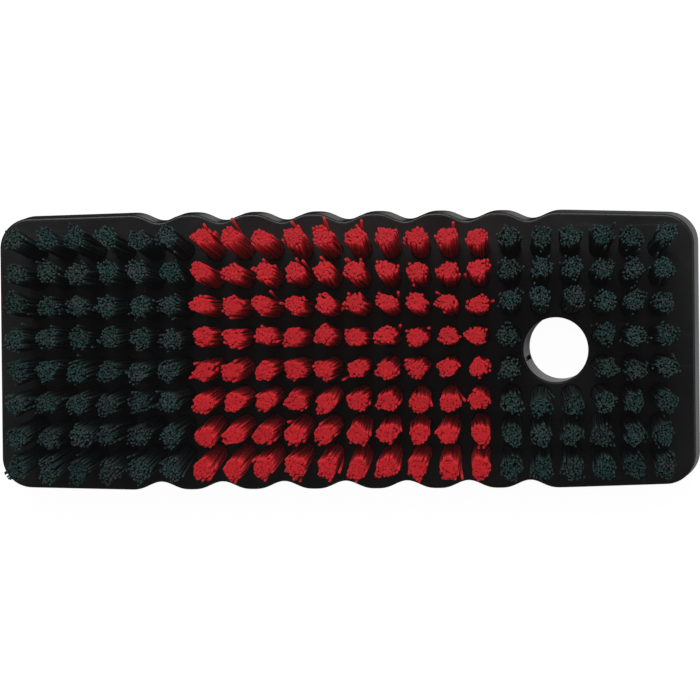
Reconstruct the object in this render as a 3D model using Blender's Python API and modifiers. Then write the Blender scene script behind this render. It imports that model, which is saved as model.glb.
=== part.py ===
"""Hand and nail brush: a moulded block with finger scallops, a hanging hole and staple-set tufts.

Metres, +Z up. The brush lies on its flat back with the bristles up, the long side along X, and the
origin under its middle, on the back. Each tuft is folded in a U over a flat anchor wire that is
driven into its blind hole. The tufts of a column, and its anchors, are joined along the column.
"""

import math
import random

import bmesh
import bpy
from mathutils import Vector

# Block
block_length = 0.115
block_width = 0.0455
block_thickness = 0.014
corner_radius = 0.005
end_taper = 0.0006
back_edge_round = 0.003
front_edge_round = 0.0004
scallop_pitch = 0.0102
scallop_depth = 0.0013
scallop_shift = -0.0005
scallop_count = 7

# Hanging hole
hanging_diameter = 0.0107
hanging_rim_round = 0.0003
hanging_wall = 0.0005
gate_mark_width = 0.0006
gate_mark_depth = 0.0005
gate_mark_offset = 0.0016
gate_mark_land = 0.0012

# Tufts
end_margin = 0.0062
side_margin = 0.006
field_shift = 0.0002
tuft_diameter = 0.0032
tuft_spacing = 0.00166
tuft_flare_x = 0.00096
tuft_flare_y = 0.0004
bristle_length = 0.016
field_lean = 0.0004
end_lean = 0.0022
side_lean = 0.0023
hanging_lean = 0.0005
colour_gap = 0.0003
dark_columns = 6
tip_gap = 0.0003
tip_jitter = 0.0003
tip_unevenness = 0.0003

# Tuft holes and anchors
tuft_hole_depth = 0.009
anchor_thickness = 0.00035
anchor_height = 0.0016
anchor_bite = 0.0006
slice_height = 0.0009
slice_shoulder = 0.0001
fit_gap = 0.0003
cut_overrun = 0.001
merge_distance = 0.00001

# Shares and counts
scallop_power = 1.5
tuft_corner_share = 0.9
low_side_splay_share = 0.27
low_side_splay_power = 4
hanging_taken_share = 1.25
hanging_reach_share = 1.5
outboard_columns = 4
scallop_steps = 10
corner_steps = 6
back_round_steps = 3
hanging_steps = 28
tuft_hole_sides = 6
random_seed = 11

# Worked out from the sizes above
scallop_zone = scallop_count * scallop_pitch / 2
hex_share = math.cos(math.pi / tuft_hole_sides)
field_length = block_length - 2 * end_margin
field_width = block_width - 2 * side_margin
column_count = round((field_length - 2 * colour_gap) / (tuft_diameter + tuft_spacing)) + 1
row_count = round(field_width / (tuft_diameter + tuft_spacing)) + 1
column_pitch = (field_length - 2 * colour_gap) / (column_count - 1)
row_pitch = field_width / (row_count - 1)
hanging_x = field_shift + field_length / 2 - (outboard_columns - 1 / 2) * column_pitch
hanging_radius = hanging_diameter / 2
tuft_radius = tuft_diameter / 2
tuft_half_flat = tuft_radius * hex_share
tuft_hole_radius = (tuft_half_flat + fit_gap) / hex_share
slice_width = 2 * (tuft_half_flat + slice_shoulder)
tunnel_width = slice_width + 2 * fit_gap
tunnel_bottom = block_thickness - tuft_hole_depth
slice_bottom = tunnel_bottom + fit_gap
slice_top = slice_bottom + slice_height
anchor_bottom = slice_top + fit_gap
anchor_top = anchor_bottom + anchor_height
tunnel_top = anchor_top + fit_gap


def clear_scene():
    for thing in list(bpy.data.objects):
        bpy.data.objects.remove(thing, do_unlink=True)


def make_collection(name):
    group = bpy.data.collections.new(name)
    bpy.context.scene.collection.children.link(group)
    return group


def make_material(name, colour, roughness, metallic):
    material = bpy.data.materials.new(name)
    material.use_nodes = True
    shader = material.node_tree.nodes["Principled BSDF"]
    shader.inputs["Base Color"].default_value = (*colour, 1)
    shader.inputs["Roughness"].default_value = roughness
    shader.inputs["Metallic"].default_value = metallic
    material.diffuse_color = (*colour, 1)
    return material


def make_object(name, form, group, material=None):
    """An object whose mesh is the bmesh given, which is freed."""
    mesh = bpy.data.meshes.new(name)
    form.to_mesh(mesh)
    form.free()
    thing = bpy.data.objects.new(name, mesh)
    group.objects.link(thing)
    if material:
        mesh.materials.append(material)
    return thing


def make_cutter(name, form, group):
    cutter = make_object(name, form, group)
    cutter.hide_render = True
    cutter.display_type = "WIRE"
    return cutter


def add_boolean(thing, other, operation):
    change = thing.modifiers.new(other.name, "BOOLEAN")
    change.object = other
    change.operation = operation
    change.solver = "EXACT"


def add_prism(form, outline, low, high):
    """A closed outline in plan, raised into a solid between two heights."""
    face = form.faces.new([form.verts.new((x, y, low)) for x, y in outline])
    raised = bmesh.ops.extrude_face_region(form, geom=[face])
    moved = [part for part in raised["geom"] if isinstance(part, bmesh.types.BMVert)]
    bmesh.ops.translate(form, verts=moved, vec=(0, 0, high - low))
    bmesh.ops.recalc_face_normals(form, faces=form.faces)


# The block


def side_width(x):
    """Half the block's width at x: scallops with broad crests and a slight taper to the ends."""
    share = max(0, abs(x) - scallop_zone) / (block_length / 2 - scallop_zone)
    turn = 2 * math.pi * max(0, scallop_zone - abs(x - scallop_shift)) / scallop_pitch
    wave = ((1 - math.cos(turn)) / 2) ** scallop_power
    return block_width / 2 - scallop_depth * wave - end_taper * share


def block_outline():
    """The outline in plan: one corner arc, tangent to the end and the side, mirrored into all four."""
    slope = math.atan2(end_taper, block_length / 2 - scallop_zone)
    centre_x = block_length / 2 - corner_radius
    centre_y = side_width(centre_x) - corner_radius / math.cos(slope)
    quarter = []
    for step in range(corner_steps + 1):
        angle = (math.pi / 2 - slope) * step / corner_steps
        along = centre_x + corner_radius * math.cos(angle)
        quarter.append((along, centre_y + corner_radius * math.sin(angle)))
    steps = scallop_count * scallop_steps
    side = []
    for step in range(steps + 1):
        x = scallop_shift + scallop_zone * (1 - 2 * step / steps)
        side.append((x, side_width(x)))
    half = quarter + side + [(-x, y) for x, y in reversed(quarter)]
    return half + [(x, -y) for x, y in reversed(half)]


def add_round(thing, name, height, width, steps):
    """Rounds the edges of the outline at one height."""
    group = thing.vertex_groups.new(name=name)
    edge = [v.index for v in thing.data.vertices if abs(v.co.z - height) < fit_gap]
    group.add(edge, 1.0, "REPLACE")
    change = thing.modifiers.new(name, "BEVEL")
    change.limit_method = "VGROUP"
    change.vertex_group = name
    change.width = width
    change.segments = steps


def cut_hanging_hole(block, cutters):
    """A through hole, turned from its profile, whose rim is eased on both faces."""
    flare = hanging_rim_round + cut_overrun
    profile = [
        (0, block_thickness + cut_overrun),
        (hanging_radius + flare, block_thickness + cut_overrun),
        (hanging_radius, block_thickness - hanging_rim_round),
        (hanging_radius, hanging_rim_round),
        (hanging_radius + flare, -cut_overrun),
        (0, -cut_overrun),
    ]
    form = bmesh.new()
    chain = [form.verts.new((r, 0, z)) for r, z in profile]
    for one, two in zip(chain, chain[1:]):
        form.edges.new((one, two))
    spool = make_cutter("cutter_hanging_hole", form, cutters)
    turned = spool.modifiers.new("turned", "SCREW")
    turned.steps = hanging_steps
    turned.render_steps = hanging_steps
    turned.use_merge_vertices = True
    turned.merge_threshold = merge_distance
    spool.location.x = hanging_x
    add_boolean(block, spool, "DIFFERENCE")


def cut_gate_mark(block, cutters):
    """The mark that the mould leaves: a narrow pocket down the wall of the hanging hole."""
    form = bmesh.new()
    bmesh.ops.create_cube(form, size=1)
    size = (2 * gate_mark_depth, gate_mark_width, block_thickness - 2 * gate_mark_land)
    bmesh.ops.scale(form, vec=size, verts=form.verts)
    mark = make_cutter("cutter_gate_mark", form, cutters)
    reach = math.sqrt(hanging_radius**2 - gate_mark_offset**2)
    mark.location = (hanging_x - reach, -gate_mark_offset, block_thickness / 2)
    add_boolean(block, mark, "DIFFERENCE")


def make_block(columns, group, cutters, material):
    form = bmesh.new()
    add_prism(form, block_outline(), 0, block_thickness)
    block = make_object("brush_block", form, group, material)
    add_round(block, "back_edge", 0, back_edge_round, back_round_steps)
    add_round(block, "front_edge", block_thickness, front_edge_round, 1)
    cut_hanging_hole(block, cutters)
    cut_gate_mark(block, cutters)

    tunnels = bmesh.new()
    holes = bmesh.new()
    for column in columns:
        path = column_path(column, tuft_hole_radius + anchor_bite + fit_gap)
        add_ribbon(tunnels, path, tunnel_width, tunnel_bottom, tunnel_top)
        for tuft in column["tufts"]:
            add_tuft_hole(holes, tuft)
    add_boolean(block, make_cutter("cutter_tunnels", tunnels, cutters), "DIFFERENCE")
    add_boolean(block, make_cutter("cutter_tuft_holes", holes, cutters), "DIFFERENCE")


def add_tuft_hole(form, tuft):
    """A six-sided blind hole, from over the front face down to the tuft's anchor."""
    low = (anchor_bottom + anchor_top) / 2
    high = block_thickness + cut_overrun
    made = bmesh.ops.create_cone(
        form,
        cap_ends=True,
        segments=tuft_hole_sides,
        radius1=tuft_hole_radius,
        radius2=tuft_hole_radius,
        depth=high - low,
    )
    place = Vector((tuft["x"], tuft["y"], (low + high) / 2))
    bmesh.ops.translate(form, verts=made["verts"], vec=place)


# Places of the tufts


def column_x(column):
    """A column's place along the block, with a little more room where the colour changes."""
    x = field_shift + (column - (column_count - 1) / 2) * column_pitch
    if column < dark_columns:
        return x - colour_gap
    if column >= column_count - dark_columns:
        return x + colour_gap
    return x


def grid_place(column, row):
    return Vector((column_x(column), ((row_count - 1) / 2 - row) * row_pitch))


def from_hanging_hole(place):
    return place - Vector((hanging_x, 0))


def is_taken(place):
    """True where the hanging hole takes the place of a tuft."""
    return from_hanging_hole(place).length < hanging_taken_share * row_pitch


def nearest_tuft():
    """The least distance on the grid from the hanging hole's axis to a tuft that is there."""
    cells = [(column, row) for column in range(column_count) for row in range(row_count)]
    places = [grid_place(column, row) for column, row in cells]
    return min(from_hanging_hole(place).length for place in places if not is_taken(place))


def place_tuft(column, row, nearest, jitter):
    """Where a tuft stands and where its tip leans. Round the hanging hole the grid gives way."""
    place = grid_place(column, row)
    tip_x = place.x + end_lean * (place.x - field_shift) / (field_length / 2)
    tip_y = place.y + field_lean + side_lean * place.y / (field_width / 2)
    away = from_hanging_hole(place)
    clear = max(nearest, hanging_radius + hanging_wall + tuft_hole_radius)
    reach = hanging_reach_share * column_pitch
    near = max(0, 1 - (away.length - nearest) / reach)
    away.normalize()
    place += away * near * (clear - nearest)
    lean = away * near * (clear - nearest + hanging_lean)
    tip_x += lean.x + jitter.uniform(-tip_jitter, tip_jitter)
    tip_y += lean.y + jitter.uniform(-tip_jitter, tip_jitter)
    return {"x": place.x, "y": place.y, "tip_x": tip_x, "tip_y": tip_y}


def plan_columns():
    """The columns of tufts, left to right. One that the hanging hole interrupts makes two runs."""
    jitter = random.Random(random_seed)
    nearest = nearest_tuft()
    columns = []
    for column in range(column_count):
        runs = [[]]
        for row in range(row_count):
            if not is_taken(grid_place(column, row)):
                runs[-1].append(place_tuft(column, row, nearest, jitter))
            elif runs[-1]:
                runs.append([])
        ends = ["_upper", "_lower"] if len(runs) > 1 else [""]
        dark = column < dark_columns or column >= column_count - dark_columns
        for run, end in zip(runs, ends):
            columns.append({"name": f"{column + 1:02d}{end}", "dark": dark, "tufts": run})
    return columns


def column_path(column, overhang):
    """A run's line in plan, straight through each tuft, past both end tufts by the overhang."""
    tufts = column["tufts"]
    points = [(tufts[0]["x"], tufts[0]["y"] + overhang)]
    for one, two in zip(tufts, tufts[1:]):
        if abs(one["x"] - two["x"]) > slice_shoulder:
            middle = (one["y"] + two["y"]) / 2
            half = (one["y"] - two["y"]) / 2 - tuft_hole_radius * tuft_corner_share
            points.append((one["x"], middle + half))
            points.append((two["x"], middle - half))
    points.append((tufts[-1]["x"], tufts[-1]["y"] - overhang))
    return points


def add_ribbon(form, path, width, low, high):
    """A bar of even width that follows a path in plan, with mitred corners."""
    points = [Vector(point) for point in path]
    runs = [(two - one).normalized() for one, two in zip(points, points[1:])]
    left = []
    right = []
    for index, point in enumerate(points):
        before = runs[max(index - 1, 0)]
        after = runs[min(index, len(runs) - 1)]
        along = (before + after).normalized()
        across = Vector((-along.y, along.x))
        across *= width / 2 / along.dot(after)
        left.append(point + across)
        right.append(point - across)
    add_prism(form, left + right[::-1], low, high)


# Tufts and anchors


def add_leg(form, tuft, side, jitter):
    """One leg of a folded tuft: half a hexagon in section, straight in its hole, then fanned out.

    The tufts towards the low side, which wear most, are splayed more along their column.
    """
    short = jitter.uniform(0, tip_unevenness)
    low_side = max(0, -tuft["y"] / (field_width / 2))
    grown_x = 1 + tuft_flare_x / tuft_diameter
    grown_y = 1 + tuft_flare_y / tuft_diameter
    grown_y *= 1 + low_side_splay_share * low_side**low_side_splay_power
    fold = anchor_thickness / 2 + fit_gap
    tip_z = block_thickness + bristle_length - short
    stations = [
        (tuft["x"], tuft["y"], (slice_bottom + slice_top) / 2, 1, 1, fold),
        (tuft["x"], tuft["y"], block_thickness, 1, 1, fold),
        (tuft["tip_x"], tuft["tip_y"], tip_z, grown_x, grown_y, tip_gap / 2),
    ]
    rings = []
    for x, y, z, size_x, size_y, inner in stations:
        outer = tuft_half_flat * size_x
        wide = tuft_radius * tuft_corner_share * size_y
        corners = [(inner, -wide), (outer, -wide / 2), (outer, wide / 2), (inner, wide)]
        rings.append([form.verts.new((x + side * u, y + v, z)) for u, v in corners])
    faces = [form.faces.new(rings[0]), form.faces.new(rings[-1])]
    for one, two in zip(rings, rings[1:]):
        for k in range(len(one)):
            after = (k + 1) % len(one)
            faces.append(form.faces.new((one[k], one[after], two[after], two[k])))
    bmesh.ops.recalc_face_normals(form, faces=faces)


def make_tufts(column, jitter, group, cutters, material):
    """A column's folded tufts, fused to a slice of the backing at the bottom of their holes."""
    form = bmesh.new()
    path = column_path(column, tuft_radius)
    add_ribbon(form, path, slice_width, slice_bottom, slice_top)
    tufts = make_object(f"tuft_column_{column['name']}", form, group, material)
    legs = bmesh.new()
    for tuft in column["tufts"]:
        for side in (-1, 1):
            add_leg(legs, tuft, side, jitter)
    strands = make_cutter(f"strands_{column['name']}", legs, cutters)
    add_boolean(tufts, strands, "UNION")


def make_anchor(column, group, material):
    """A column's flat anchor wires, one per tuft, joined end to end, standing in the tufts' folds."""
    form = bmesh.new()
    path = column_path(column, tuft_hole_radius + anchor_bite)
    add_ribbon(form, path, anchor_thickness, anchor_bottom, anchor_top)
    make_object(f"anchor_wire_{column['name']}", form, group, material)


def main():
    clear_scene()
    brush = make_collection("nail_brush")
    cutters = make_collection("cutters")
    black = make_material("black_plastic", (0.012, 0.012, 0.013), 0.42, 0)
    red = make_material("red_bristles", (0.38, 0.018, 0.022), 0.55, 0)
    dark = make_material("dark_green_bristles", (0.03, 0.055, 0.053), 0.55, 0)
    steel = make_material("anchor_steel", (0.56, 0.55, 0.52), 0.35, 1)

    columns = plan_columns()
    make_block(columns, brush, cutters, black)
    jitter = random.Random(random_seed + 1)
    for column in columns:
        make_tufts(column, jitter, brush, cutters, dark if column["dark"] else red)
        make_anchor(column, brush, steel)
    print(f"{sum(len(column['tufts']) for column in columns)} tufts in {len(columns)} runs")


main()
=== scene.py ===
import math

import bmesh
import bpy
import numpy as np
from mathutils import Matrix, Vector
from mathutils.geometry import delaunay_2d_cdt


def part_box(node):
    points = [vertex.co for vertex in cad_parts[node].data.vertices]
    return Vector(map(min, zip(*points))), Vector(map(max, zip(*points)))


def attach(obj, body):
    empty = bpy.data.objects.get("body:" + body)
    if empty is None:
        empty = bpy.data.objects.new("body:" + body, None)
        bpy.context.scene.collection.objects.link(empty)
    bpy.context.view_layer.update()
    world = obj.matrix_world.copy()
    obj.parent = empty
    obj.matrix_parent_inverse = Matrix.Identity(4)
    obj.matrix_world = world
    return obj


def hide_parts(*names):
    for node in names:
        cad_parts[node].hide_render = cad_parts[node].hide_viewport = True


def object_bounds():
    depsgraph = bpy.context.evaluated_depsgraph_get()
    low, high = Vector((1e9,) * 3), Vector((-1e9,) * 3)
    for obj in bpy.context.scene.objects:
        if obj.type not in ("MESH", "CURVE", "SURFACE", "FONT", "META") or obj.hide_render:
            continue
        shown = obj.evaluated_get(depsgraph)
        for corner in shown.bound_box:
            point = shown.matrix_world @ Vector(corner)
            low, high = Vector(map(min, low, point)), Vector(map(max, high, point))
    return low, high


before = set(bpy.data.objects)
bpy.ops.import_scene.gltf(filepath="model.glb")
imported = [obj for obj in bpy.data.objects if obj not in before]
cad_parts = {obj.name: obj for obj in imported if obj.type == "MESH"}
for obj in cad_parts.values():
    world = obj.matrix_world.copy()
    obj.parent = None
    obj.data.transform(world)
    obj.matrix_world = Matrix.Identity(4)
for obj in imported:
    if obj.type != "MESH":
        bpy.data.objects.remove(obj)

cadLow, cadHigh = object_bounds()
blockLow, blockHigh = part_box("brush_block")
blockLength = blockHigh.x - blockLow.x
blockWidth = blockHigh.y - blockLow.y
faceHeight = blockHigh.z
print("frame loaded,", len(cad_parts), "nodes")


def addObject(name, data):
    thing = bpy.data.objects.new(name, data)
    bpy.context.scene.collection.objects.link(thing)
    return thing


# Camera: at the photograph's angle, a little to the right of the brush's face and a little above it
cameraLook = {
    "distance": 2.5,
    "frameWidth": 0.1156,  # what the picture spans at the face of the block
    "leanX": 0.088,  # sideways and upward share of the way to the camera
    "leanY": 0.045,
    "centrePixelX": 347.4,  # where the middle of the block's face lies in the picture
    "centrePixelY": 351.1,
    "picturePixels": 700,
    "roll": 0.58,  # degrees that the right end rises
    "sensor": 36,
    "seenFrom": 1 / 30,  # shares of the distance between which things are seen
    "seenTo": 4,
}


def makeCamera(look):
    # the aim is moved from the face's middle by the pixels that separate it from the picture's middle
    pixel = look["frameWidth"] / look["picturePixels"]
    middle = look["picturePixels"] / 2
    aimX = (middle - look["centrePixelX"]) * pixel
    aimY = (look["centrePixelY"] - middle) * pixel
    away = Vector((look["leanX"], look["leanY"], 1)).normalized()
    right = Vector((0, 1, 0)).cross(away).normalized()
    up = away.cross(right)
    turn = Matrix((right, up, away)).transposed() @ Matrix.Rotation(-math.radians(look["roll"]), 3, "Z")
    place = Vector((aimX, aimY, faceHeight)) + away * look["distance"]
    data = bpy.data.cameras.new("camera")
    data.sensor_width = look["sensor"]
    data.lens = look["sensor"] * look["distance"] / look["frameWidth"]
    data.clip_start = look["distance"] * look["seenFrom"]
    data.clip_end = look["distance"] * look["seenTo"]
    camera = addObject("camera", data)
    camera.matrix_world = Matrix.Translation(place) @ turn.to_4x4()
    bpy.context.scene.camera = camera


makeCamera(cameraLook)


# Meshes from arrays

def meshPiece(name, points, faces, material, replaced):
    # a piece from whole arrays: it rides on the one body, takes its slot and stands for CAD nodes
    mesh = bpy.data.meshes.new(name)
    mesh.from_pydata(points.tolist(), [], faces)
    mesh.polygons.foreach_set("use_smooth", np.ones(len(mesh.polygons), bool))
    mesh.materials.append(material)
    piece = addObject(name, mesh)
    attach(piece, "root")
    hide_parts(*replaced)
    return piece


def ringQuads(rings, sides, start=0):
    # quads between neighbouring rings of one grid, each ring closed on itself
    ring = np.arange(rings - 1)[:, None]
    side = np.arange(sides)[None, :]
    here = ring * sides + side
    beside = ring * sides + (side + 1) % sides
    return start + np.stack([here, beside, beside + sides, here + sides], -1).reshape(-1, 4)


def onCircle(angle):
    return np.stack([np.cos(angle), np.sin(angle)], -1)


def evenTurns(sides):
    return np.linspace(0, 2 * np.pi, sides, endpoint=False)


def unitVectors(vectors):
    return vectors / np.linalg.norm(vectors, axis=-1, keepdims=True)


def addAttribute(mesh, name, domain, values):
    attribute = mesh.attributes.new(name, "FLOAT", domain)
    attribute.data.foreach_set("value", np.asarray(values, np.float32).ravel())


def joinedWords(words):
    return words.title().replace("_", "")


# Materials

class NodeTools:
    # short ways to add and join the nodes of a material or of the world
    def __init__(self, tree):
        self.tree = tree

    def add(self, kind, **settings):
        node = self.tree.nodes.new(kind)
        for key, value in settings.items():
            setattr(node, key, value)
        return node

    def join(self, output, socket):
        self.tree.links.new(output, socket)

    def spread(self, value, source, target):
        # the value's range from source low to high becomes the one from target low to high
        node = self.add("ShaderNodeMapRange")
        self.join(value, node.inputs["Value"])
        for key, number in zip(("From Min", "From Max", "To Min", "To Max"), (*source, *target)):
            node.inputs[key].default_value = number
        return node.outputs["Result"]

    def math(self, operation, one, two):
        node = self.add("ShaderNodeMath", operation=operation)
        for socket, value in zip(node.inputs, (one, two)):
            if isinstance(value, (int, float)):
                socket.default_value = value
            else:
                self.join(value, socket)
        return node.outputs["Value"]

    def overlay(self, surface, layers):
        # each layer is a share and the shader that takes that share of all below it
        for share, shader in layers:
            mix = self.add("ShaderNodeMixShader")
            self.join(share, mix.inputs["Fac"])
            self.join(surface, mix.inputs[1])
            self.join(shader.outputs[0], mix.inputs[2])
            surface = mix.outputs["Shader"]
        return surface


class Finish(NodeTools):
    # a Principled material whose patterns follow the piece's own Object coordinates
    def __init__(self, name):
        self.material = bpy.data.materials.new(name)
        self.material.use_nodes = True
        super().__init__(self.material.node_tree)
        self.shader = self.tree.nodes["Principled BSDF"]
        self.place = self.add("ShaderNodeTexCoord").outputs["Object"]

    def noise(self, scale, detail=2, roughness=0.5, distortion=0, stretch=(1, 1, 1)):
        mapping = self.add("ShaderNodeMapping")
        mapping.inputs["Scale"].default_value = stretch
        self.join(self.place, mapping.inputs["Vector"])
        node = self.add("ShaderNodeTexNoise")
        node.inputs["Scale"].default_value = scale
        node.inputs["Detail"].default_value = detail
        node.inputs["Roughness"].default_value = roughness
        node.inputs["Distortion"].default_value = distortion
        self.join(mapping.outputs["Vector"], node.inputs["Vector"])
        return node.outputs["Fac"]

    def cells(self, scale):
        node = self.add("ShaderNodeTexVoronoi")
        node.inputs["Scale"].default_value = scale
        self.join(self.place, node.inputs["Vector"])
        return node.outputs["Color"]

    def named(self, name):
        return self.add("ShaderNodeAttribute", attribute_name=name).outputs["Fac"]

    def blend(self, share, one, two, kind="MIX"):
        node = self.add("ShaderNodeMix", data_type="RGBA", blend_type=kind)
        for socket, value in ((node.inputs[0], share), (node.inputs[6], one), (node.inputs[7], two)):
            if isinstance(value, (int, float)):
                socket.default_value = value
            elif isinstance(value, tuple):
                socket.default_value = (*value, 1)
            else:
                self.join(value, socket)
        return node.outputs[2]

    def bump(self, height, distance, strength, under=None):
        node = self.add("ShaderNodeBump")
        node.inputs["Distance"].default_value = distance
        node.inputs["Strength"].default_value = strength
        self.join(height, node.inputs["Height"])
        if under:
            self.join(under, node.inputs["Normal"])
        return node.outputs["Normal"]

    def haze(self, strength):
        # painted glow: a faint white emission, though the surface is no lamp, that lifts it out of its
        # deepest shade
        self.shader.inputs["Emission Color"].default_value = (1, 1, 1, 1)
        self.shader.inputs["Emission Strength"].default_value = strength


plasticLook = {
    "deep": (0.0038, 0.0039, 0.0041),  # the two ends of the cloudy tone
    "bare": (0.0067, 0.0068, 0.0071),
    "cloudScale": 90,
    "cloudSpread": (0.3, 0.7),
    "scuffed": (0.033, 0.034, 0.036),
    "scuffScale": 900,
    "scuffStretch": (0.09, 1, 1),
    "scuffSpread": (0.60, 0.72),  # only the peaks of their noise show as scuffs
    "scuffShares": (0, 0.35),
    "grainScale": 5200,
    "grainDepth": 0.00001,
    "grainStrength": 0.5,
    "rippleScale": 420,
    "rippleDepth": 0.00004,
    "rippleStrength": 0.25,
    "roughGrain": 0.5,  # what the grain adds to the clouds where they make the roughness uneven
    "roughSpread": (0.5, 1.0),
    "roughness": (0.34, 0.50),
    "wallTurn": (0.2, 0.8),  # how much the surface faces up or down, from a side wall to a flat face
    "wallShine": 0.5,  # share of the face's roughness that the smoother side walls have
    "refraction": 1.5,
    # painted glow: the emission strength that lifts the plastic's deepest shade
    "haze": 0.0025,
}


def plasticFinish(look):
    # near-black moulded plastic: cloudy tone, satin grain, faint long scuffs
    finish = Finish("blackPlastic")
    clouds = finish.noise(look["cloudScale"], detail=5, roughness=0.6)
    grain = finish.noise(look["grainScale"], roughness=0.6)
    scuffs = finish.noise(look["scuffScale"], detail=4, roughness=0.7, distortion=0.6,
                          stretch=look["scuffStretch"])
    cloudy = finish.spread(clouds, look["cloudSpread"], (0, 1))
    tone = finish.blend(cloudy, look["deep"], look["bare"])
    scuffed = finish.spread(scuffs, look["scuffSpread"], look["scuffShares"])
    tone = finish.blend(scuffed, tone, look["scuffed"])
    finish.join(tone, finish.shader.inputs["Base Color"])
    uneven = finish.math("ADD", clouds, finish.math("MULTIPLY", grain, look["roughGrain"]))
    rough = finish.spread(uneven, look["roughSpread"], look["roughness"])
    facing = finish.add("ShaderNodeSeparateXYZ")
    finish.join(finish.add("ShaderNodeNewGeometry").outputs["Normal"], facing.inputs["Vector"])
    upright = finish.math("ABSOLUTE", facing.outputs["Z"], 0)
    wall = finish.spread(upright, look["wallTurn"], (look["wallShine"], 1))
    finish.join(finish.math("MULTIPLY", rough, wall), finish.shader.inputs["Roughness"])
    finish.shader.inputs["IOR"].default_value = look["refraction"]
    ripple = finish.bump(finish.noise(look["rippleScale"]), look["rippleDepth"], look["rippleStrength"])
    relief = finish.bump(grain, look["grainDepth"], look["grainStrength"], ripple)
    finish.join(relief, finish.shader.inputs["Normal"])
    finish.haze(look["haze"])
    return finish.material


# both kinds of bristle are nylon and share these
nylonLook = {
    "alongSpread": (0.3, 1.0),  # where on its way up a shaft takes the tip's colour
    "alongPower": 1.2,
    "streakScale": 2400,
    "streakStretch": (1, 1, 0.12),
    "streakSpread": (0.3, 0.7),
    "streakDepth": 0.00002,
    "streakStrength": 0.3,
    "roughness": (0.50, 0.68),
    "refraction": 1.53,
    # painted glow: the emission strength that lifts the nylon's deepest shade
    "haze": 0.0025,
}

# the cut ends' colours lie between cut and other, and tones are the darkest and the brightest filament's
bristleLooks = {
    "red_bristles": {
        # shaft: painted shade and light deep in the tuft, darker and greyer than the tip
        "shaft": (0.420, 0.026, 0.030),
        "tip": (0.490, 0.019, 0.025),
        "cut": (0.366, 0.008, 0.013),
        "other": (0.416, 0.012, 0.018),
        "tones": (0.82, 1.16),
        "shine": 0.15,
    },
    "dark_green_bristles": {
        # shaft: painted light deep in the tuft, lighter than the tip
        "shaft": (0.014, 0.018, 0.019),
        "tip": (0.010, 0.016, 0.016),
        "cut": (0.002, 0.0275, 0.0275),
        "other": (0.028, 0.033, 0.032),
        "tones": (0.42, 1.72),
        "shine": 0.10,
    },
}


def bristleFinish(name, look):
    # nylon: each filament has its own tone, turns to the tip's colour on its way up, and ends in a cut face
    finish = Finish(name)
    rising = finish.spread(finish.named("along"), look["alongSpread"], (0, 1))
    along = finish.math("POWER", rising, look["alongPower"])
    # painted light and shade for the tuft's depths: red shafts darker and greyer than their tips, dark
    # green ones lighter
    tone = finish.blend(along, look["shaft"], look["tip"])
    cut = finish.blend(finish.named("hue"), look["cut"], look["other"])
    tone = finish.blend(finish.named("cutEnd"), tone, cut)
    own = finish.spread(finish.named("tone"), (0, 1), look["tones"])
    shade = finish.add("ShaderNodeCombineColor")
    for socket in shade.inputs:
        finish.join(own, socket)
    tone = finish.blend(1.0, tone, shade.outputs["Color"], "MULTIPLY")
    finish.join(tone, finish.shader.inputs["Base Color"])
    streaks = finish.noise(look["streakScale"], stretch=look["streakStretch"])
    rough = finish.spread(streaks, look["streakSpread"], look["roughness"])
    finish.join(rough, finish.shader.inputs["Roughness"])
    finish.shader.inputs["IOR"].default_value = look["refraction"]
    finish.shader.inputs["Specular IOR Level"].default_value = look["shine"]
    relief = finish.bump(streaks, look["streakDepth"], look["streakStrength"])
    finish.join(relief, finish.shader.inputs["Normal"])
    finish.haze(look["haze"])
    return finish.material


wireLook = {
    "dull": (0.42, 0.43, 0.44),
    "bright": (0.66, 0.66, 0.65),
    "flowerScale": 2600,
    "lineScale": 9000,
    "lineStretch": (1, 0.05, 1),
    "lineSpread": (0.3, 0.7),
    "lineDepth": 0.00001,
    "lineStrength": 0.4,
    "roughness": (0.26, 0.46),
}


def wireFinish(look):
    # flat galvanised wire: zinc flower, drawn lines along it
    finish = Finish("galvanisedWire")
    flower = finish.add("ShaderNodeSeparateColor")
    finish.join(finish.cells(look["flowerScale"]), flower.inputs["Color"])
    tone = finish.blend(flower.outputs["Red"], look["dull"], look["bright"])
    finish.join(tone, finish.shader.inputs["Base Color"])
    lines = finish.noise(look["lineScale"], stretch=look["lineStretch"])
    rough = finish.spread(lines, look["lineSpread"], look["roughness"])
    finish.join(rough, finish.shader.inputs["Roughness"])
    relief = finish.bump(lines, look["lineDepth"], look["lineStrength"])
    finish.join(relief, finish.shader.inputs["Normal"])
    finish.shader.inputs["Metallic"].default_value = 1
    return finish.material


blackPlastic = plasticFinish(plasticLook)
bristleMaterials = {slot: bristleFinish(joinedWords(slot), {**nylonLook, **look})
                    for slot, look in bristleLooks.items()}
galvanisedWire = wireFinish(wireLook)
print("materials made")


# Places of the tufts, worked out as the CAD does
tuftGrid = {
    "columns": 22,
    "rows": 8,
    "darkColumns": 6,  # at each end
    "endMargin": 0.0062,  # from the block's end and side to the outermost tufts' axes
    "sideMargin": 0.006,
    "fieldShift": 0.0002,  # of the whole field towards the hanging hole
    "colourGap": 0.0003,  # by which the dark columns stand off the red ones
    "fieldLean": 0.0004,  # of all tips
    "endLean": 0.0022,  # how far the outermost tips lean outward at the ends and at the sides
    "sideLean": 0.0023,
    "outboardColumns": 4,  # beyond the hanging hole, whose axis is midway between two columns
    "hangingRadius": 0.00535,
    "hangingClear": 0.007796,  # from the hanging hole's axis to the nearest tuft
    "hangingLean": 0.0005,  # how much further the tips nearest to the hole move away from it
    "takenRows": 1.25,  # a tuft within this many row pitches of the hole's axis is left out
    "reachColumns": 1.5,  # how many column pitches beyond the nearest tufts the hole still moves others
    "tipJitter": 0.0003,
    "seed": 11,
}


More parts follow.
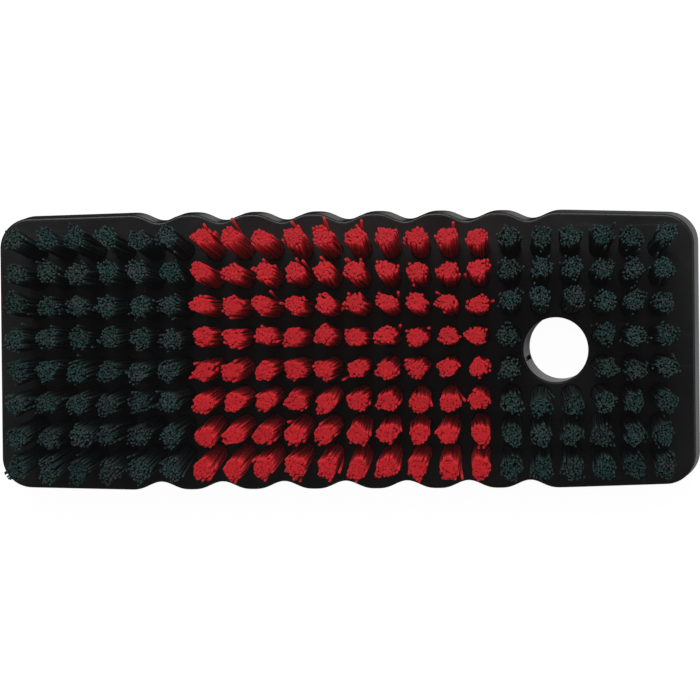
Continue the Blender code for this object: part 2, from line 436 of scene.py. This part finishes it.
def planTufts(grid):
    # the grid of tufts in plan: where each stands and where its tip leans, less those that the hole takes
    length = blockLength - 2 * grid["endMargin"]
    width = blockWidth - 2 * grid["sideMargin"]
    pitchX = (length - 2 * grid["colourGap"]) / (grid["columns"] - 1)
    pitchY = width / (grid["rows"] - 1)
    column, row = np.indices((grid["columns"], grid["rows"])).reshape(2, -1)
    dark = (column < grid["darkColumns"]) | (column >= grid["columns"] - grid["darkColumns"])
    middle = (grid["columns"] - 1) / 2
    x = (column - middle) * pitchX + np.sign(column - middle) * grid["colourGap"] * dark
    y = ((grid["rows"] - 1) / 2 - row) * pitchY
    tip = np.stack([x * (1 + 2 * grid["endLean"] / length) + grid["fieldShift"],
                    y * (1 + 2 * grid["sideLean"] / width) + grid["fieldLean"]], -1)
    place = np.stack([x + grid["fieldShift"], y], -1)
    hangingX = grid["fieldShift"] + length / 2 - (grid["outboardColumns"] - 0.5) * pitchX
    away = place - (hangingX, 0)
    far = np.linalg.norm(away, axis=1)
    kept = far >= grid["takenRows"] * pitchY
    nearest = far[kept].min()
    fading = np.clip(1 - (far - nearest) / (grid["reachColumns"] * pitchX), 0, None)
    push = away * (fading / np.maximum(far, pitchY))[:, None]
    tip += push * (grid["hangingClear"] - nearest + grid["hangingLean"])
    place = place + push * (grid["hangingClear"] - nearest)
    tip += np.random.default_rng(grid["seed"]).uniform(-1, 1, tip.shape) * grid["tipJitter"]
    parts = {"column": column, "row": row, "dark": dark, "place": place, "tip": tip}
    return {key: value[kept] for key, value in parts.items()}, hangingX


tufts, hangingX = planTufts(tuftGrid)
print(len(tufts["row"]), "tufts planned")


# The block
blockShape = {
    "cornerRadius": 0.005,
    "endTaper": 0.0006,
    "backRound": 0.003,
    "frontRound": 0.0004,
    "scallopPitch": 0.0102,
    "scallopDepth": 0.0013,
    "scallopShift": -0.0005,
    "scallopPower": 1.5,
    "scallopCount": 7,
    "scallopSteps": 26,
    "cornerSteps": 16,
    "taperSteps": 5,
    "endSteps": 10,
    "backSteps": 10,
    "wallSteps": 6,
    "frontSteps": 5,
    "flatBorder": 0.0002,  # width of the ring of quads inside each face's edge
    "sharpAngle": 40,
}

tuftHole = {
    "radius": 0.0017,
    "mouthEase": 0.00008,
    "easeBend": 0.3,  # how far out and down the mouth's middle ring lies, as a share of the ease
    "border": 0.00006,
    "depth": 0.009,
    "endCone": 0.1,  # height of the conical end as a share of the radius
    "sides": 18,
}

hangingHole = {
    "rimRound": 0.0003,
    "border": 0.00015,
    "sides": 112,
    "rimSteps": 5,
    "markWidth": 0.0006,
    "markDepth": 0.0005,
    "markOffset": 0.0016,
    "markLand": 0.0012,
    "markDraft": 0.00006,
    "markClear": 1.4,  # half widths of the mark within which the bore has no points of its own
    "markSteps": 4,
}


def scallopZone(shape):
    return shape["scallopCount"] * shape["scallopPitch"] / 2


def sideHalfWidth(x, shape):
    # scallops from a cosine raised to a power, so that crests are broad, and a straight taper to the ends
    zone = scallopZone(shape)
    taper = shape["endTaper"] * np.maximum(np.abs(x) - zone, 0) / (blockLength / 2 - zone)
    turn = 2 * np.pi * np.maximum(zone - np.abs(x - shape["scallopShift"]), 0) / shape["scallopPitch"]
    scallop = shape["scallopDepth"] * ((1 - np.cos(turn)) / 2) ** shape["scallopPower"]
    return blockWidth / 2 - scallop - taper


def blockOutline(shape):
    # anticlockwise ring of points with outward normals: half of the end, corner arc, taper and scallops,
    # then their mirrored copies
    zone = scallopZone(shape)
    slope = math.atan2(shape["endTaper"], blockLength / 2 - zone)
    centreX = blockLength / 2 - shape["cornerRadius"]
    centreY = float(sideHalfWidth(centreX, shape)) - shape["cornerRadius"] / math.cos(slope)
    endY = np.linspace(0, centreY, shape["endSteps"], endpoint=False)
    end = np.stack([np.full_like(endY, blockLength / 2), endY], -1)
    angle = np.linspace(0, np.pi / 2 - slope, shape["cornerSteps"] + 1)
    arc = np.array((centreX, centreY)) + shape["cornerRadius"] * onCircle(angle)
    sideSteps = shape["scallopCount"] * shape["scallopSteps"]
    sideX = shape["scallopShift"] + np.linspace(zone, -zone, sideSteps + 1)
    rightX = np.linspace(arc[-1, 0], sideX[0], shape["taperSteps"] + 2)[1:-1]
    leftX = np.linspace(sideX[-1], -arc[-1, 0], shape["taperSteps"] + 2)[1:-1]
    alongX = np.concatenate([rightX, sideX, leftX])
    side = np.stack([alongX, sideHalfWidth(alongX, shape)], -1)
    half = np.concatenate([end, arc, side, (arc * (-1, 1))[::-1], (end * (-1, 1))[::-1]])
    ring = np.concatenate([half, (half[1:-1] * (1, -1))[::-1]])
    before = unitVectors(ring - np.roll(ring, 1, 0))
    after = unitVectors(np.roll(ring, -1, 0) - ring)
    along = unitVectors(before + after)
    return ring, np.stack([along[:, 1], -along[:, 0]], -1)


def blockSides(shape):
    # the outline carried up a profile: back face edge, back round, wall, front rim, front face edge
    ring, normal = blockOutline(shape)
    back = np.linspace(0, np.pi / 2, shape["backSteps"] + 1)
    rim = np.linspace(0, np.pi / 2, shape["frontSteps"] + 1)
    wall = np.linspace(shape["backRound"], faceHeight - shape["frontRound"], shape["wallSteps"] + 1)[1:-1]
    backBorder = [shape["backRound"] + shape["flatBorder"]]
    frontBorder = [shape["frontRound"] + shape["flatBorder"]]
    inset = np.concatenate([backBorder, shape["backRound"] * (1 - np.sin(back)), np.zeros_like(wall),
                            shape["frontRound"] * (1 - np.cos(rim)), frontBorder])
    height = np.concatenate([[0], shape["backRound"] * (1 - np.cos(back)), wall,
                             faceHeight - shape["frontRound"] * (1 - np.sin(rim)), [faceHeight]])
    flat = ring[None] - normal[None] * inset[:, None, None]
    return np.concatenate([flat, np.broadcast_to(height[:, None, None], flat.shape[:2] + (1,))], -1)


def holeWall(shape):
    # the hanging hole: a round bore with eased rims and the narrow pocket of the mould's gate mark
    radius = tuftGrid["hangingRadius"]
    middle = math.pi + math.asin(shape["markOffset"] / radius)
    half = shape["markWidth"] / 2 / radius
    draft = shape["markDraft"] / radius
    angle = evenTurns(shape["sides"])
    angle = angle[np.abs(angle - middle) > half * shape["markClear"]]
    mark = middle + np.array([-half - draft, -half, half, half + draft])
    grooved = np.concatenate([np.zeros(len(angle)), [0, 1, 1, 0]])
    angle = np.concatenate([angle, mark])
    order = np.argsort(angle)
    angle, grooved = angle[order], grooved[order]
    turn = np.linspace(0, np.pi / 2, shape["rimSteps"] + 1)
    ease = shape["rimRound"] * (1 - np.sin(turn))
    depth = shape["rimRound"] * (1 - np.cos(turn))
    land = shape["markLand"] + shape["markDraft"]
    inner = np.linspace(land, faceHeight - land, shape["markSteps"] + 1)
    wall = np.concatenate([[shape["markLand"]], inner, [faceHeight - shape["markLand"]]])
    border = [shape["rimRound"] + shape["border"]]
    outward = np.concatenate([border, ease, np.zeros_like(wall), ease[::-1], border])
    height = np.concatenate([[0], depth, wall, faceHeight - depth[::-1], [faceHeight]])
    pocket = np.isin(height, inner)[:, None] * grooved[None]
    reach = np.maximum(outward[:, None], shape["markDepth"] * pocket) + radius
    x = hangingX + reach * np.cos(angle)
    y = reach * np.sin(angle)
    return np.stack([x, y, np.broadcast_to(height[:, None], x.shape)], -1)


def tuftHoles(shape):
    # blind round holes: flat border, eased mouth, wall and a shallow conical end, one grid for each
    radius, ease = shape["radius"], shape["mouthEase"]
    bend = ease * shape["easeBend"]
    bottom = faceHeight - shape["depth"]
    reach = np.array([radius + ease + shape["border"], radius + ease, radius + bend, radius, radius])
    height = np.array([faceHeight, faceHeight, faceHeight - bend, faceHeight - ease,
                       bottom + radius * shape["endCone"]])
    unit = onCircle(evenTurns(shape["sides"]))
    flat = tufts["place"][:, None, None, :] + reach[None, :, None, None] * unit[None, None]
    tall = np.broadcast_to(height[None, :, None, None], flat.shape[:3] + (1,))
    return np.concatenate([flat, tall], -1), bottom


def fillFlat(loops):
    # flat faces between an outer loop and the round loops in it, as indices into all of their points in
    # order; a face that has all of its corners on one round loop closes that hole, and is left out
    insideOnly, samePoint = 1, 1e-9  # the kind of output, and how near two points are one
    counts = [len(loop) for loop in loops]
    starts = np.cumsum([0] + counts[:-1])
    edges = [start + np.stack([np.arange(count), (np.arange(count) + 1) % count], -1)
             for count, start in zip(counts, starts)]
    points = [Vector(point) for point in np.concatenate(loops).tolist()]
    found = delaunay_2d_cdt(points, np.concatenate(edges).tolist(), [], insideOnly, samePoint)
    source = np.array([origin[0] for origin in found[3]])
    faces = source[np.array(found[2])]
    loop = np.repeat(np.arange(len(loops)), counts)[faces]
    closing = (loop[:, 0] > 0) & (loop == loop[:, :1]).all(1)
    return faces[~closing]


def makeBlock(shape):
    # all grids and the flat faces between them as one closed mesh that faces outward
    sides = blockSides(shape)
    bore = holeWall(hangingHole)
    holes, bottom = tuftHoles(tuftHole)
    steps, around = sides.shape[:2]
    boreSteps, boreAround = bore.shape[:2]
    count, holeSteps, holeAround = holes.shape[:3]
    boreStart = steps * around
    holeStart = boreStart + boreSteps * boreAround
    endStart = holeStart + count * holeSteps * holeAround
    ends = np.concatenate([tufts["place"], np.full((count, 1), bottom)], 1)
    points = np.concatenate([sides.reshape(-1, 3), bore.reshape(-1, 3), holes.reshape(-1, 3), ends])

    faces = ringQuads(steps, around).tolist() + ringQuads(boreSteps, boreAround, boreStart).tolist()
    one = ringQuads(holeSteps, holeAround)
    offsets = holeStart + np.arange(count) * holeSteps * holeAround
    faces += (one[None] + offsets[:, None, None]).reshape(-1, 4).tolist()
    low = offsets[:, None] + (holeSteps - 1) * holeAround + np.arange(holeAround)[None]
    tips = np.broadcast_to(endStart + np.arange(count)[:, None], low.shape)
    faces += np.stack([low, np.roll(low, -1, 1), tips], -1).reshape(-1, 3).tolist()

    backLoops = [sides[0, :, :2], bore[0, :, :2]]
    backIndex = np.concatenate([np.arange(around), boreStart + np.arange(boreAround)])
    faces += backIndex[fillFlat(backLoops)].tolist()
    frontLoops = [sides[-1, :, :2], bore[-1, :, :2], *holes[:, 0, :, :2]]
    frontIndex = np.concatenate([(steps - 1) * around + np.arange(around),
                                 boreStart + (boreSteps - 1) * boreAround + np.arange(boreAround),
                                 (offsets[:, None] + np.arange(holeAround)[None]).ravel()])
    faces += frontIndex[fillFlat(frontLoops)].tolist()

    block = meshPiece("brushBlock", points, faces, blackPlastic, ["brush_block"])
    form = bmesh.new()
    form.from_mesh(block.data)
    bmesh.ops.recalc_face_normals(form, faces=form.faces)
    loose = sum(not edge.is_manifold for edge in form.edges)
    form.to_mesh(block.data)
    form.free()
    block.data.set_sharp_from_angle(angle=math.radians(shape["sharpAngle"]))
    print("block made,", len(block.data.polygons), "faces,", loose, "open edges")


makeBlock(blockShape)


# The tufts: filaments folded in a U round the flat wire at the bottom of each hole
filamentShape = {
    "radius": 0.00013,  # at the fold
    "mouthRadius": 0.000155,
    "wideFrom": 0.6,  # share of the way up above which a filament is widest
    "sides": 6,
    "each": 44,  # folded filaments in a tuft, so twice as many tips
    "packing": 0.00028,  # between filaments beside the wire
    "mouthPacking": 0.000312,  # and in the mouth of the hole
    "latticeReach": 8,  # rows of the packing's lattice on each side of its middle
    "strips": 7,
    "lowSideSplay": 0.20,  # how much more the lowest row's tufts spread across the block
    "splayPower": 4,
    "lobes": 0.085,
    "waves": ((2, 1), (3, 1), (5, 0.8)),  # how often each lobe comes round a tuft, and its part
    "twist": 0.45,
    "outerFrom": 0.6,  # share of a tuft's reach beyond which its filaments stand out
    "raggedGamma": (1.2, 0.5),  # shape and scale of how far they do
    "bow": 0.00012,
    "stations": (1, 0.68, 0.34, 0),  # shares of a leg's height, from the cut end down
    "bendPower": 1.15,
    "short": 0.0005,  # what the shortest filament lacks, and few lack much of it
    "shortPower": 3,
    "endRoom": 0.00024,  # the ends' least distance inside the block's outline
    "topRoom": 0.000096,  # and below the top
    "strayShare": 0.008,
    "strayReach": 0.0008,
    "strayShort": 0.0003,
    "foldStations": 4,
    "foldDepth": 0.92,  # how deep a fold reaches under the wire, as a share of its half width
    "foldAlong": -0.5,  # the fold's value of along, which is 0 at the mouth and 1 at the cut end
    "ownTone": 0.7,  # how much of a filament's tone is its own, the rest being its tuft's
    "seed": 23,
}

# the cut ends are crushed a little wider, and the outer filaments stand out by about the ragged length
bristleTips = {
    "red_bristles": {
        "tipRadius": 0.00023,
        "spreadX": 0.93,
        "spreadY": 0.79,
        "scatter": 0.00008,
        "ragged": 0.00042,
    },
    "dark_green_bristles": {
        "tipRadius": 0.00017,
        "spreadX": 1.03,
        "spreadY": 1.00,
        "scatter": 0.00011,
        "ragged": 0.00042,
    },
}

wireShape = {
    "thickness": 0.00035,
    "height": 0.0016,
    "bite": 0.0005,  # into the hole's wall at each end
    "bottom": 0.0065,
    "edgeRound": 0.00008,
    "endShare": 0.72,  # what the chamfered ends keep of the section
    "sides": 16,
    "sharpAngle": 50,
}

# single bristles that stand out of their tufts: column, row, reach along X and along Y in metres
strayBristles = [
    (6, 0, -0.0002, 0.0009), (7, 0, -0.0003, 0.0019), (9, 0, -0.0004, 0.0013), (10, 0, -0.0006, 0.0022),
    (11, 0, 0.0003, 0.0012), (8, 1, -0.0005, 0.0009), (9, 1, 0.0004, 0.0008), (10, 1, -0.0003, 0.0008),
    (8, 2, 0.0004, 0.0012), (10, 2, 0.0016, -0.0002), (12, 2, 0.0009, 0.0007), (12, 3, 0.0010, 0.0012),
    (13, 3, 0.0009, 0.0010), (14, 0, 0.0006, 0.0010), (19, 0, 0.0008, 0.0010), (0, 5, -0.0007, -0.0010),
]


def lattice(random, spacing, reach):
    # points of a turned and shifted lattice of equal triangles, the inner ones first
    across = 2 * reach + 1
    j, i = np.indices((across, across)).reshape(2, -1) - reach
    x = (i + j / 2 + random.uniform(-0.5, 0.5)) * spacing
    y = (j * math.sqrt(3) / 2 + random.uniform(-0.5, 0.5)) * spacing
    angle = random.uniform(0, np.pi / 3)
    cosine, sine = math.cos(angle), math.sin(angle)
    turned = np.stack([x * cosine - y * sine, x * sine + y * cosine], -1)
    return turned[np.argsort((turned ** 2).sum(1))]


def inStrips(places, strips):
    # sorted into strips from low to high, and outward in each, so that legs matched by it hardly cross
    strip = np.argsort(np.argsort(places[:, 1])) * strips // len(places)
    return places[np.lexsort((np.abs(places[:, 0]), strip))]


def packTuft(random, shape):
    # where the filaments' right legs pass the wire, and where both legs of each come out of the hole
    each, strips = shape["each"], shape["strips"]
    beside = lattice(random, shape["packing"], shape["latticeReach"])
    beside = beside[beside[:, 0] >= wireShape["thickness"] / 2 + shape["radius"]][:each]
    mouth = lattice(random, shape["mouthPacking"], shape["latticeReach"])[:2 * each]
    mouth = mouth[np.argsort(mouth[:, 0])]
    return inStrips(beside, strips), inStrips(mouth[each:], strips), inStrips(mouth[:each], strips)


def fanned(offset, fan, shape, spreadY):
    # from the mouth to the tips a tuft widens, twists a little and bulges more in some directions
    angle = np.arctan2(offset[:, 1], offset[:, 0])
    wave = sum(part * np.cos(times * angle + phase)
               for (times, part), phase in zip(shape["waves"], fan["phases"]))
    reach = np.linalg.norm(offset, axis=1) * (1 + shape["lobes"] * wave)
    spread = np.array((shape["spreadX"], spreadY))
    return reach[:, None] * spread * onCircle(angle + fan["twist"] * shape["twist"])


def legPath(place, tip, start, fan, random, shape, strays):
    # stations of one leg from its cut end down to the mouth of the hole: a straight way that bends a little
    # outward with height and bows to one side
    count = len(start)
    lowSide = max(0, -place[1] / (blockWidth / 2 - tuftGrid["sideMargin"]))
    spreadY = shape["spreadY"] * (1 + shape["lowSideSplay"] * lowSide ** shape["splayPower"])
    around = fanned(start, fan, shape, spreadY)
    far = np.linalg.norm(around, axis=1)
    outer = np.interp(far / far.max(), (shape["outerFrom"], 1), (0, shape["ragged"]))
    outer *= random.gamma(*shape["raggedGamma"], count)
    end = tip + around * (1 + outer / far)[:, None] + random.normal(0, 1, (count, 2)) * shape["scatter"]
    wild = random.random(count) < shape["strayShare"]
    way = unitVectors(random.normal(0, 1, (count, 2)))
    end += way * (wild * shape["strayReach"])[:, None]
    height = np.full(count, cadHigh.z - shape["topRoom"])
    short = random.random(count) ** shape["shortPower"] * shape["short"]
    height -= short + wild * shape["strayShort"] + outer
    for k, (reachX, reachY) in enumerate(strays):
        edge = np.argsort(-(start @ np.array((reachX, reachY))))[k]
        end[edge] = tip + around[edge] + (reachX, reachY)
        height[edge] -= math.hypot(reachX, reachY)
    limit = np.array((blockLength, blockWidth)) / 2 - shape["endRoom"]
    end = np.clip(end, -limit, limit)
    share = np.array(shape["stations"])
    bend = share ** shape["bendPower"]
    mouth = place + start
    flat = mouth[:, None] + (end - mouth)[:, None] * bend[None, :, None]
    bow = random.normal(0, 1, (count, 2)) * shape["bow"]
    flat += bow[:, None] * np.sin(np.pi * share)[None, :, None]
    tall = faceHeight + (height - faceHeight)[:, None] * share[None]
    return np.concatenate([flat, tall[:, :, None]], -1), np.broadcast_to(share, tall.shape)


def tuftPaths(place, tip, random, shape, strays):
    # both legs of every filament of one tuft, joined by the half turn under the wire
    right, mouthRight, mouthLeft = packTuft(random, shape)
    *phases, twist = random.uniform(0, 2 * np.pi, len(shape["waves"]) + 1)
    fan = {"phases": phases, "twist": twist / np.pi - 1}
    one, alongOne = legPath(place, tip, mouthRight, fan, random, shape, strays)
    two, alongTwo = legPath(place, tip, mouthLeft, fan, random, shape, ())
    turn = np.linspace(0, np.pi, shape["foldStations"])
    fold = np.empty((len(right), len(turn), 3))
    fold[..., 0] = place[0] + right[:, :1] * np.cos(turn)
    fold[..., 1] = place[1] + right[:, 1:]
    fold[..., 2] = wireShape["bottom"] - shape["foldDepth"] * right[:, :1] * np.sin(turn)
    path = np.concatenate([one, fold, two[:, ::-1]], 1)
    along = np.concatenate([alongOne, np.full(fold.shape[:2], shape["foldAlong"]), alongTwo[:, ::-1]], 1)
    return path, along


def tubesFromPaths(path, radius, sides):
    # a tube with flat closed ends along every path, framed by the long way of the wire
    count, steps = path.shape[:2]
    along = unitVectors(np.gradient(path, axis=1))
    side = unitVectors(np.array((0.0, 1.0, 0.0)) - along * along[..., 1:2])
    other = np.cross(along, side)
    turn = evenTurns(sides)[:, None]
    ring = side[:, :, None] * np.cos(turn) + other[:, :, None] * np.sin(turn)
    points = path[:, :, None] + radius[:, :, None, None] * ring
    starts = np.arange(count)[:, None] * steps * sides
    quads = (starts[:, None] + ringQuads(steps, sides)[None]).reshape(-1, 4)
    corner = np.arange(sides)[None]
    first = starts + corner[:, ::-1]
    last = starts + (steps - 1) * sides + corner
    return points.reshape(-1, 3), quads, np.concatenate([first, last])


def runOf(column, row):
    # the CAD's name for a run of tufts: its column's number, and which half where the hanging hole parts it
    name = f"{column + 1:02d}"
    members = tufts["row"][tufts["column"] == column]
    if len(members) == tuftGrid["rows"]:
        return name
    return name + ("_upper" if row < tuftGrid["rows"] / 2 else "_lower")


def makeBristles(run, members):
    # one piece for a run: tubes along the paths of all its tufts, with the attributes that the nylon reads
    slot = "dark_green_bristles" if tufts["dark"][members[0]] else "red_bristles"
    shape = {**filamentShape, **bristleTips[slot]}
    sides = shape["sides"]
    random = np.random.default_rng([shape["seed"], *members])
    paths, alongs = [], []
    for member in members:
        strays = [reach for column, row, *reach in strayBristles
                  if (column, row) == (tufts["column"][member], tufts["row"][member])]
        path, along = tuftPaths(tufts["place"][member], tufts["tip"][member], random, shape, strays)
        paths.append(path)
        alongs.append(along)
    path, along = np.concatenate(paths), np.concatenate(alongs)
    radius = np.interp(along, (shape["foldAlong"], 0, shape["wideFrom"]),
                       (shape["radius"], shape["mouthRadius"], shape["tipRadius"]))
    points, quads, ends = tubesFromPaths(path, radius, sides)
    piece = meshPiece("bristles" + joinedWords(run), points, quads.tolist() + ends.tolist(),
                      bristleMaterials[slot], [f"tuft_column_{run}"])
    mesh = piece.data
    isEnd = np.arange(len(mesh.polygons)) >= len(quads)
    mesh.polygons.foreach_set("use_smooth", ~isEnd)
    addAttribute(mesh, "cutEnd", "FACE", isEnd)
    addAttribute(mesh, "along", "POINT", np.repeat(along.ravel(), sides))
    for name in ("tone", "hue"):
        ofFilament = random.random(len(path))
        ofTuft = np.repeat(random.random(len(members)), shape["each"])
        mixed = shape["ownTone"] * ofFilament + (1 - shape["ownTone"]) * ofTuft
        addAttribute(mesh, name, "POINT", np.repeat(mixed, path.shape[1] * sides))
    return len(mesh.polygons)


def makeWires(run, members, shape):
    # one short flat wire for each tuft, its section a rounded bar carried across the hole into both walls
    sides, edge = shape["sides"], shape["edgeRound"]
    half = np.array((shape["thickness"] / 2, shape["height"] / 2)) - edge
    unit = onCircle(evenTurns(sides) + np.pi / sides)
    section = np.sign(unit) * half + unit * edge
    reach = tuftHole["radius"] + shape["bite"]
    stations = np.array([-reach, -reach + edge, 0, reach - edge, reach])
    narrow = np.where(np.abs(stations) == reach, shape["endShare"], 1)
    one = np.empty((len(stations), sides, 3))
    one[..., 0] = section[None, :, 0] * narrow[:, None]
    one[..., 1] = stations[:, None]
    one[..., 2] = shape["bottom"] + shape["height"] / 2 + section[None, :, 1] * narrow[:, None]
    place = np.concatenate([tufts["place"][members], np.zeros((len(members), 1))], 1)
    points = (one[None] + place[:, None, None]).reshape(-1, 3)
    size = len(stations) * sides
    starts = np.arange(len(members))[:, None] * size
    quads = (ringQuads(len(stations), sides)[None, :, ::-1] + starts[:, None]).reshape(-1, 4)
    corner = np.arange(sides)
    ends = np.concatenate([starts + corner, starts + size - sides + corner[::-1]])
    piece = meshPiece("wires" + joinedWords(run), points, quads.tolist() + ends.tolist(),
                      galvanisedWire, [f"anchor_wire_{run}"])
    piece.data.set_sharp_from_angle(angle=math.radians(shape["sharpAngle"]))


def makeTufts():
    # tufts are told apart into the CAD's runs, and each run gets its bristles and its wires
    runs = {}
    for member, (column, row) in enumerate(zip(tufts["column"], tufts["row"])):
        runs.setdefault(runOf(column, row), []).append(member)
    total = 0
    for run, members in runs.items():
        total += makeBristles(run, members)
        makeWires(run, members, wireShape)
    print(len(runs), "runs of tufts made,", total, "bristle faces")


makeTufts()


# Floor, light and background
studio = {
    "floorSize": 6.0,
    "floorGap": 0.0001,  # below the back of the block, so that the two don't lie in one plane
    "floorColour": (0.55, 0.55, 0.55),
    "floorRough": 0.8,
    "floorShadow": 0.12,  # share of the floor's own shading that the camera sees over plain white
    "floorWhite": 1.10,
    "underHole": (0.40, 0.08),  # how bright the floor under the hole is mirrored, from its low side up
    "underHoleSpan": (-0.9, 0.2),  # where that begins and ends, in shares of the hole's radius
    "mirroredAbove": 0.05,  # what the plastic mirrors is dim above it
    "mirroredBelow": (0.02, 0.23),  # and below it grows brighter from the left to the right
    "mirroredTurn": (-0.085, -0.03),
    "world": 0.25,
    "lamps": [
        # name, place, width, height, power, seen in reflections
        ("overheadSoft", (-0.10, 1.10, 1.00), 1.1, 0.8, 14.5, True),
        ("frontSoft", (0.10, 0.50, 1.55), 0.7, 0.7, 10.5, False),
        ("rightSoft", (1.20, 0.10, 0.75), 0.8, 0.8, 2.8, True),
        ("leftFill", (-1.10, -0.50, 0.80), 0.9, 0.9, 1.2, True),
    ],
}


def floorFinish(look):
    # pale and matt: the camera sees it as white with a faint shadow, and the plastic mirrors the studio
    # beyond it; it has one side only, so that the back of the brush can be seen from below
    finish = Finish("paleFloor")
    finish.shader.inputs["Base Color"].default_value = (*look["floorColour"], 1)
    finish.shader.inputs["Roughness"].default_value = look["floorRough"]
    radius = tuftGrid["hangingRadius"]
    rays = finish.add("ShaderNodeLightPath")
    far = finish.add("ShaderNodeVectorMath", operation="DISTANCE")
    finish.join(finish.place, far.inputs[0])
    far.inputs[1].default_value = (hangingX, 0, 0)
    under = finish.math("LESS_THAN", far.outputs["Value"], radius)
    upward = finish.add("ShaderNodeSeparateXYZ")
    finish.join(finish.place, upward.inputs["Vector"])
    span = [share * radius for share in look["underHoleSpan"]]
    white, lit = finish.add("ShaderNodeEmission"), finish.add("ShaderNodeEmission")
    white.inputs["Strength"].default_value = look["floorWhite"]
    finish.join(finish.spread(upward.outputs["Y"], span, look["underHole"]), lit.inputs["Strength"])
    clear = finish.add("ShaderNodeBsdfTransparent")
    seen = finish.math("MULTIPLY", rays.outputs["Is Camera Ray"], 1 - look["floorShadow"])
    mirrored = rays.outputs["Is Glossy Ray"]
    below = finish.add("ShaderNodeNewGeometry").outputs["Backfacing"]
    surface = finish.overlay(finish.shader.outputs["BSDF"], (
        (seen, white), (mirrored, clear), (finish.math("MULTIPLY", mirrored, under), lit), (below, clear)))
    finish.join(surface, finish.tree.nodes["Material Output"].inputs["Surface"])
    return finish.material


def makeFloor(look):
    half = look["floorSize"] / 2
    mesh = bpy.data.meshes.new("floor")
    corners = [(x * half, y * half, -look["floorGap"]) for x, y in ((-1, -1), (1, -1), (1, 1), (-1, 1))]
    mesh.from_pydata(corners, [], [(0, 1, 2, 3)])
    mesh.materials.append(floorFinish(look))
    floor = addObject("floor", mesh)


def makeLamps(look):
    # soft rectangles that all face the middle of the block's face
    for name, place, width, height, power, mirrored in look["lamps"]:
        data = bpy.data.lights.new(name, "AREA")
        data.shape = "RECTANGLE"
        data.size = width
        data.size_y = height
        data.energy = power
        lamp = addObject(name, data)
        aim = Vector((0, 0, faceHeight)) - Vector(place)
        lamp.matrix_world = Matrix.Translation(place) @ aim.to_track_quat("-Z", "Y").to_matrix().to_4x4()
        lamp.visible_glossy = mirrored


def makeWorld(look):
    # even light, white to the camera; mirrored in the plastic it is dim, and brighter at the lower right
    world = bpy.data.worlds.new("studio")
    bpy.context.scene.world = world
    world.use_nodes = True
    tools = NodeTools(world.node_tree)
    rays = tools.add("ShaderNodeLightPath")
    way = tools.add("ShaderNodeSeparateXYZ")
    tools.join(tools.add("ShaderNodeTexCoord").outputs["Generated"], way.inputs["Vector"])
    level = tools.add("ShaderNodeMix")
    tools.join(tools.math("GREATER_THAN", way.outputs["Z"], 0), level.inputs["Factor"])
    turned = tools.spread(way.outputs["X"], look["mirroredTurn"], look["mirroredBelow"])
    tools.join(turned, level.inputs["A"])
    level.inputs["B"].default_value = look["mirroredAbove"]
    even = tools.tree.nodes["Background"]
    graded, white = tools.add("ShaderNodeBackground"), tools.add("ShaderNodeBackground")
    for shader in (even, graded, white):
        shader.inputs["Color"].default_value = (1, 1, 1, 1)
    even.inputs["Strength"].default_value = look["world"]
    tools.join(level.outputs["Result"], graded.inputs["Strength"])
    layers = ((rays.outputs["Is Glossy Ray"], graded), (rays.outputs["Is Camera Ray"], white))
    surface = tools.overlay(even.outputs["Background"], layers)
    tools.join(surface, tools.tree.nodes["World Output"].inputs["Surface"])


makeFloor(studio)
makeLamps(studio)
makeWorld(studio)
bpy.context.scene.view_settings.view_transform = "Standard"
print("studio set")
